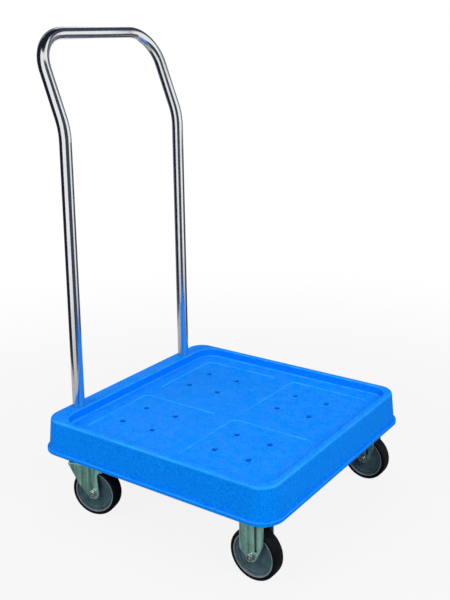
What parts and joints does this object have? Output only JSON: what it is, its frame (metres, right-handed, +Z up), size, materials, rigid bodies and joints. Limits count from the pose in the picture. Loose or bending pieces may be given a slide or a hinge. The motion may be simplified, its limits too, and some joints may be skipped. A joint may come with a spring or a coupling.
{
  "type": "rack dolly with handle",
  "caption": "Low blue plastic rack dolly with a recessed seat, a tapered skirt, a bent steel tube push handle, fixed front casters and swivel rear casters.",
  "frame": {"origin": "on the floor, under the middle of the overall length (from the back of the handle's bar to the front bead) and of the width", "axes": "+Z up from the floor; +X the way the dolly is pushed, away from the handle; +Y to the left of a person who pushes it"},
  "size_m": [0.6208, 0.54, 0.98],
  "materials": {
    "deck_plastic": "satin, fine moulded grain",
    "handle_steel": "polished tube",
    "fork_zinc": "zinc plated pressing",
    "fastener_zinc": "bright zinc plated",
    "bearing_steel": "polished bearing balls",
    "wheel_plastic": "satin grey moulding",
    "tyre_rubber": "matt black rubber",
    "plug_plastic": "matt black moulding",
    "insert_brass": "knurled brass"
  },
  "bodies": {
    "chassis": {"deck": "deck_plastic", "handle_tube": "handle_steel", "tube_plugs": "plug_plastic", "handle_bolts": "fastener_zinc", "handle_washers": "fastener_zinc", "handle_nuts": "fastener_zinc", "caster_inserts": "insert_brass", "caster_washers": "fastener_zinc", "caster_bolts": "fastener_zinc", "fixed_fork_front_right": "fork_zinc", "axle_bolt_front_right": "fastener_zinc", "axle_nut_front_right": "fastener_zinc", "axle_washers_front_right": "fastener_zinc", "axle_sleeve_front_right": "fastener_zinc", "fixed_fork_front_left": "fork_zinc", "axle_bolt_front_left": "fastener_zinc", "axle_nut_front_left": "fastener_zinc", "axle_washers_front_left": "fastener_zinc", "axle_sleeve_front_left": "fastener_zinc", "swivel_plate_rear_right": "fork_zinc", "kingpin_rear_right": "fastener_zinc", "kingpin_nut_rear_right": "fastener_zinc", "race_cup_rear_right": "fork_zinc", "swivel_plate_rear_left": "fork_zinc", "kingpin_rear_left": "fastener_zinc", "kingpin_nut_rear_left": "fastener_zinc", "race_cup_rear_left": "fork_zinc"},
    "swivel_rear_right": {"swivel_fork_rear_right": "fork_zinc", "upper_balls_rear_right": "bearing_steel", "lower_balls_rear_right": "bearing_steel", "axle_bolt_rear_right": "fastener_zinc", "axle_nut_rear_right": "fastener_zinc", "axle_washers_rear_right": "fastener_zinc", "axle_sleeve_rear_right": "fastener_zinc"},
    "swivel_rear_left": {"swivel_fork_rear_left": "fork_zinc", "upper_balls_rear_left": "bearing_steel", "lower_balls_rear_left": "bearing_steel", "axle_bolt_rear_left": "fastener_zinc", "axle_nut_rear_left": "fastener_zinc", "axle_washers_rear_left": "fastener_zinc", "axle_sleeve_rear_left": "fastener_zinc"},
    "wheel_front_right": {"wheel_centre_front_right": "wheel_plastic", "tyre_front_right": "tyre_rubber"},
    "wheel_front_left": {"wheel_centre_front_left": "wheel_plastic", "tyre_front_left": "tyre_rubber"},
    "wheel_rear_right": {"wheel_centre_rear_right": "wheel_plastic", "tyre_rear_right": "tyre_rubber"},
    "wheel_rear_left": {"wheel_centre_rear_left": "wheel_plastic", "tyre_rear_left": "tyre_rubber"}
  },
  "joints": [
    {"name": "swivel_turn_rear_right", "type": "hinge", "parent": "chassis", "child": "swivel_rear_right", "pos_m": [-0.17668, -0.219, 0.11], "axis": [0, 0, 1], "continuous": true},
    {"name": "swivel_turn_rear_left", "type": "hinge", "parent": "chassis", "child": "swivel_rear_left", "pos_m": [-0.17668, 0.219, 0.11], "axis": [0, 0, 1], "continuous": true},
    {"name": "wheel_spin_front_right", "type": "hinge", "parent": "chassis", "child": "wheel_front_right", "pos_m": [0.24842, -0.219, 0.05], "axis": [0, 1, 0], "continuous": true},
    {"name": "wheel_spin_front_left", "type": "hinge", "parent": "chassis", "child": "wheel_front_left", "pos_m": [0.24842, 0.219, 0.05], "axis": [0, 1, 0], "continuous": true},
    {"name": "wheel_spin_rear_right", "type": "hinge", "parent": "swivel_rear_right", "child": "wheel_rear_right", "pos_m": [-0.14752, -0.21195, 0.05], "axis": [-0.2351, 0.972, 0], "continuous": true},
    {"name": "wheel_spin_rear_left", "type": "hinge", "parent": "swivel_rear_left", "child": "wheel_rear_left", "pos_m": [-0.14705, 0.22369, 0.05], "axis": [-0.1564, 0.9877, 0], "continuous": true}
  ]
}
